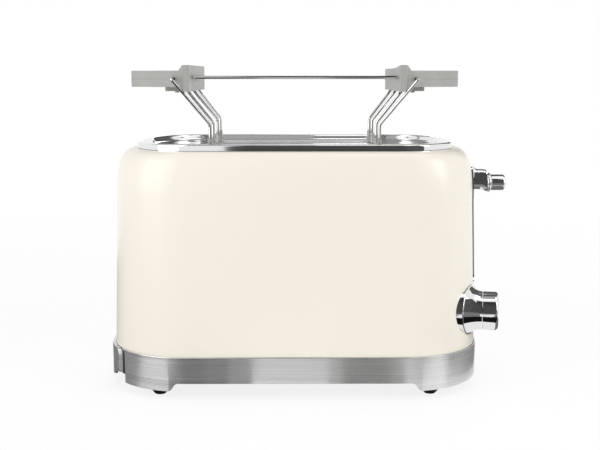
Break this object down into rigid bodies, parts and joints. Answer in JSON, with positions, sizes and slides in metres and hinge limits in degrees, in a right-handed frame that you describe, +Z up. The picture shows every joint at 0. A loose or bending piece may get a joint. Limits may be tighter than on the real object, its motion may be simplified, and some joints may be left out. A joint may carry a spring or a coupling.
{
  "type": "bread toaster",
  "caption": "Retro bread toaster with a rounded enamel body, push-down lever, browning knob, pull-out crumb tray and a lift-off wire rack for warming buns.",
  "frame": {"origin": "centre of the overall box, on the surface that the feet stand on", "axes": "+X to the end with the lever and knob, +Y to the rear with the cord outlet, +Z up"},
  "size_m": [0.3346, 0.178, 0.2628],
  "materials": {
    "enamel": "glossy warm cream enamel",
    "chrome": "polished bright metal",
    "brushed_steel": "brushed along its length",
    "sheet_steel": "plain mill finish",
    "black_plastic": "fine moulded texture",
    "grey_plastic": "matt moulded heat-proof plastic",
    "rubber": "matt moulded rubber",
    "mica": "pressed mica sheet with heating ribbon",
    "copper": "varnished copper wire on a steel core",
    "board": "solder-masked circuit board"
  },
  "bodies": {
    "housing": {"base_band": "brushed_steel", "base_pan": "black_plastic", "outer_shell": "enamel", "top_plate": "chrome", "lever_plate": "chrome", "knob_escutcheon": "chrome", "cord_gland": "black_plastic", "chassis_left": "sheet_steel", "chassis_right": "sheet_steel", "guide_rod": "sheet_steel", "return_spring": "sheet_steel", "hold_magnet": "copper", "control_board": "board", "browning_timer": "black_plastic", "foot_front_left": "rubber", "foot_front_right": "rubber", "element_front_outer": "mica", "guard_front_outer": "sheet_steel", "element_front_inner": "mica", "guard_front_inner": "sheet_steel", "heat_shield_front": "sheet_steel", "foot_rear_left": "rubber", "foot_rear_right": "rubber", "element_rear_outer": "mica", "guard_rear_outer": "sheet_steel", "element_rear_inner": "mica", "guard_rear_inner": "sheet_steel", "heat_shield_rear": "sheet_steel"},
    "carriage": {"carriage_slider": "black_plastic", "bread_lifter_front": "sheet_steel", "bread_lifter_rear": "sheet_steel", "lever_arm": "sheet_steel", "lever_neck": "chrome", "lever_collar": "chrome", "lever_cap": "chrome", "armature": "sheet_steel"},
    "browning_knob": {"knob": "chrome", "knob_shaft": "sheet_steel"},
    "crumb_tray_drawer": {"crumb_tray": "sheet_steel", "tray_panel": "brushed_steel"},
    "cancel_key": {"cancel_button": "chrome"},
    "reheat_key": {"reheat_button": "chrome"},
    "defrost_key": {"defrost_button": "chrome"},
    "bun_rack": {"rack_handle_right": "grey_plastic", "rack_handle_left": "grey_plastic", "rack_leg_front_left": "chrome", "rack_leg_front_right": "chrome", "rack_bar_front_outer": "chrome", "rack_bar_front_inner": "chrome", "rack_leg_rear_left": "chrome", "rack_leg_rear_right": "chrome", "rack_bar_rear_outer": "chrome", "rack_bar_rear_inner": "chrome"}
  },
  "joints": [
    {"name": "carriage_slide", "type": "slide", "parent": "housing", "child": "carriage", "axis": [0, 0, -1], "range_m": [0, 0.057], "stiffness_N_per_m": 150, "springref_m": -0.03, "deforming": ["return_spring"]},
    {"name": "knob_turn", "type": "hinge", "parent": "housing", "child": "browning_knob", "pos_m": [0.13037, -0.053, 0.0646], "axis": [0.983, -0.1838, 0], "range_deg": [-135, 135]},
    {"name": "tray_slide", "type": "slide", "parent": "housing", "child": "crumb_tray_drawer", "axis": [-1, 0, 0], "range_m": [0, 0.2]},
    {"name": "cancel_press", "type": "slide", "parent": "housing", "child": "cancel_key", "axis": [-1, 0, 0], "range_m": [0, 0.0015], "stiffness_N_per_m": 400, "springref_m": -0.001},
    {"name": "reheat_press", "type": "slide", "parent": "housing", "child": "reheat_key", "axis": [-1, 0, 0], "range_m": [0, 0.0015], "stiffness_N_per_m": 400, "springref_m": -0.001},
    {"name": "defrost_press", "type": "slide", "parent": "housing", "child": "defrost_key", "axis": [-1, 0, 0], "range_m": [0, 0.0015], "stiffness_N_per_m": 400, "springref_m": -0.001},
    {"name": "rack_lift", "type": "slide", "parent": "housing", "child": "bun_rack", "axis": [0, 0, 1], "range_m": [0, 0.06]}
  ]
}
